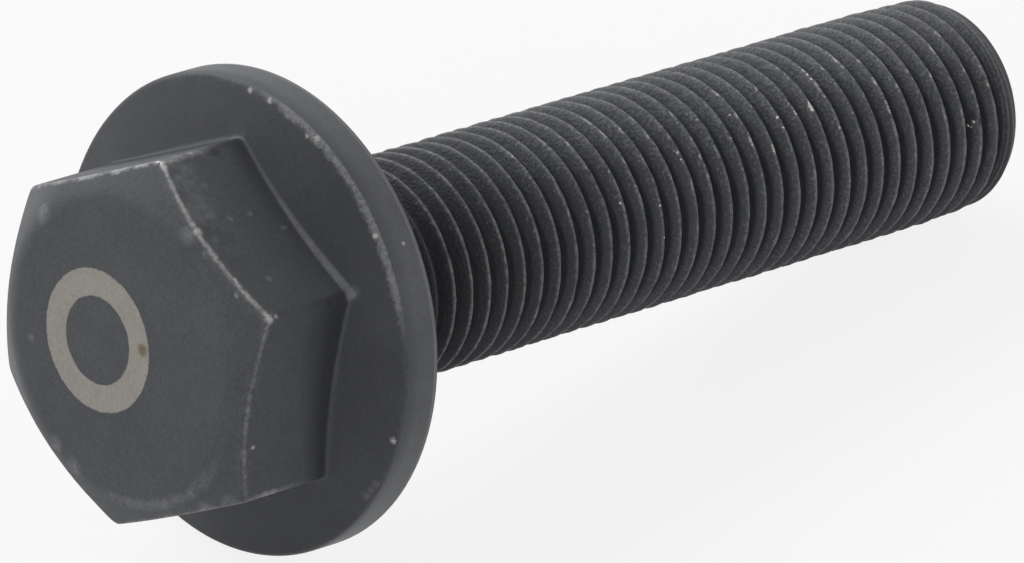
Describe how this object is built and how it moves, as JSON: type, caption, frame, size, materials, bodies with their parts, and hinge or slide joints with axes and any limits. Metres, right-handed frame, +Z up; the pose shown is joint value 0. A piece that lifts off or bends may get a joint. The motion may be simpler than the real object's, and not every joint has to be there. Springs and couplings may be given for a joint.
{
  "type": "hexagon flange screw",
  "caption": "Hexagon flange screw with a conical flange, a full-length metric fine thread and a rounded tip, in dark coated steel; clamps a brake disc to its hub.",
  "frame": {"origin": "centre of the flange's bearing face, on the screw's axis", "axes": "+Z up as the screw lies at rest, +X the level heading from the head to the tip; the axis dips 7.71 degrees towards the tip"},
  "size_m": [0.0734, 0.0298, 0.0299],
  "materials": {
    "coated_steel": "matte dark grey coating on forged steel, worn bright along the edges"
  },
  "bodies": {
    "root": {"flange_screw": "coated_steel"}
  },
  "joints": []
}
